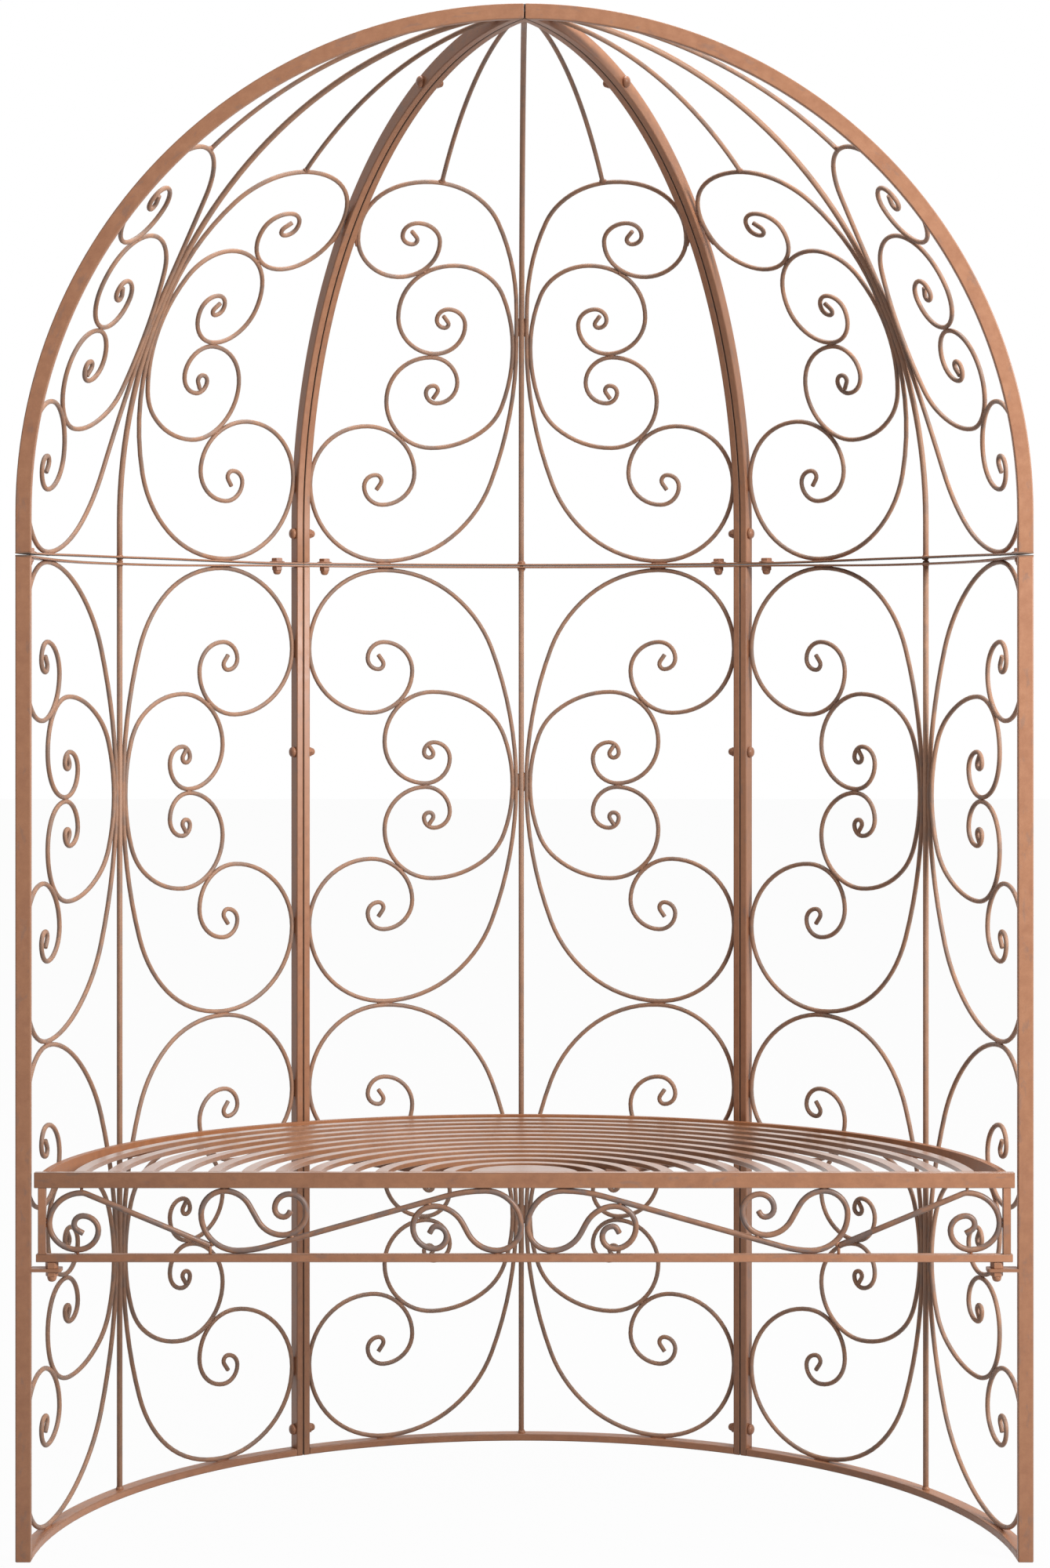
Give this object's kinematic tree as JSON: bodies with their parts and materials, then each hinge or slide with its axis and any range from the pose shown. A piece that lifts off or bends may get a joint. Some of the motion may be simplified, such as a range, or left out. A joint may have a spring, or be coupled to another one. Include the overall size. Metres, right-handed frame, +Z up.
{
  "type": "arbour seat",
  "caption": "Half-round garden arbour of scrolled steel panels with a domed roof and a slatted bench inside.",
  "frame": {"origin": "on the floor, in the middle of the half-round plan: half way between the open front and the outermost point of the back wall", "axes": "+Z up; +X to the right for someone who stands in front and looks in, which is along +Y; the open front and the apron of the bench face -Y"},
  "size_m": [1.306, 0.6526, 1.9999],
  "materials": {
    "frame_paint": "matt rust-brown powder coat, lightly mottled",
    "scroll_paint": "matt rust-brown powder coat with darker brushed patches",
    "apron_scroll_paint": "matt rust-brown powder coat with darker brushed patches",
    "slat_paint": "matt rust-brown powder coat, paler where it faces up",
    "bearer_paint": "matt rust-brown powder coat"
  },
  "bodies": {
    "root": {"apron_frame": "frame_paint", "apron_left_scrollwork": "apron_scroll_paint", "apron_right_scrollwork": "apron_scroll_paint", "back_roof_base_rail": "frame_paint", "back_roof_centre_rod": "frame_paint", "back_roof_left_rib": "frame_paint", "back_roof_left_scrollwork": "scroll_paint", "back_roof_right_rib": "frame_paint", "back_roof_right_scrollwork": "scroll_paint", "back_wall_centre_rod": "frame_paint", "back_wall_foot_rail": "frame_paint", "back_wall_left_post": "frame_paint", "back_wall_left_scrollwork": "scroll_paint", "back_wall_right_post": "frame_paint", "back_wall_right_scrollwork": "scroll_paint", "back_wall_top_rail": "frame_paint", "bench_bearer_1": "bearer_paint", "bench_bearer_2": "bearer_paint", "bench_bearer_3": "bearer_paint", "bench_centre_plate": "slat_paint", "bench_front_rail": "frame_paint", "bench_rim": "frame_paint", "bench_slat_01": "slat_paint", "bench_slat_02": "slat_paint", "bench_slat_03": "slat_paint", "bench_slat_04": "slat_paint", "bench_slat_05": "slat_paint", "bench_slat_06": "slat_paint", "bench_slat_07": "slat_paint", "bench_slat_08": "slat_paint", "bench_slat_09": "slat_paint", "bench_slat_10": "slat_paint", "bench_slat_11": "slat_paint", "bench_slat_12": "slat_paint", "left_roof_base_rail": "frame_paint", "left_roof_centre_rod": "frame_paint", "left_roof_front_rib": "frame_paint", "left_roof_left_scrollwork": "scroll_paint", "left_roof_rear_rib": "frame_paint", "left_roof_right_scrollwork": "scroll_paint", "left_wall_centre_rod": "frame_paint", "left_wall_foot_rail": "frame_paint", "left_wall_front_post": "frame_paint", "left_wall_left_scrollwork": "scroll_paint", "left_wall_rear_post": "frame_paint", "left_wall_right_scrollwork": "scroll_paint", "left_wall_top_rail": "frame_paint", "right_roof_base_rail": "frame_paint", "right_roof_centre_rod": "frame_paint", "right_roof_front_rib": "frame_paint", "right_roof_left_scrollwork": "scroll_paint", "right_roof_rear_rib": "frame_paint", "right_roof_right_scrollwork": "scroll_paint", "right_wall_centre_rod": "frame_paint", "right_wall_foot_rail": "frame_paint", "right_wall_front_post": "frame_paint", "right_wall_left_scrollwork": "scroll_paint", "right_wall_rear_post": "frame_paint", "right_wall_right_scrollwork": "scroll_paint", "right_wall_top_rail": "frame_paint"}
  },
  "joints": []
}
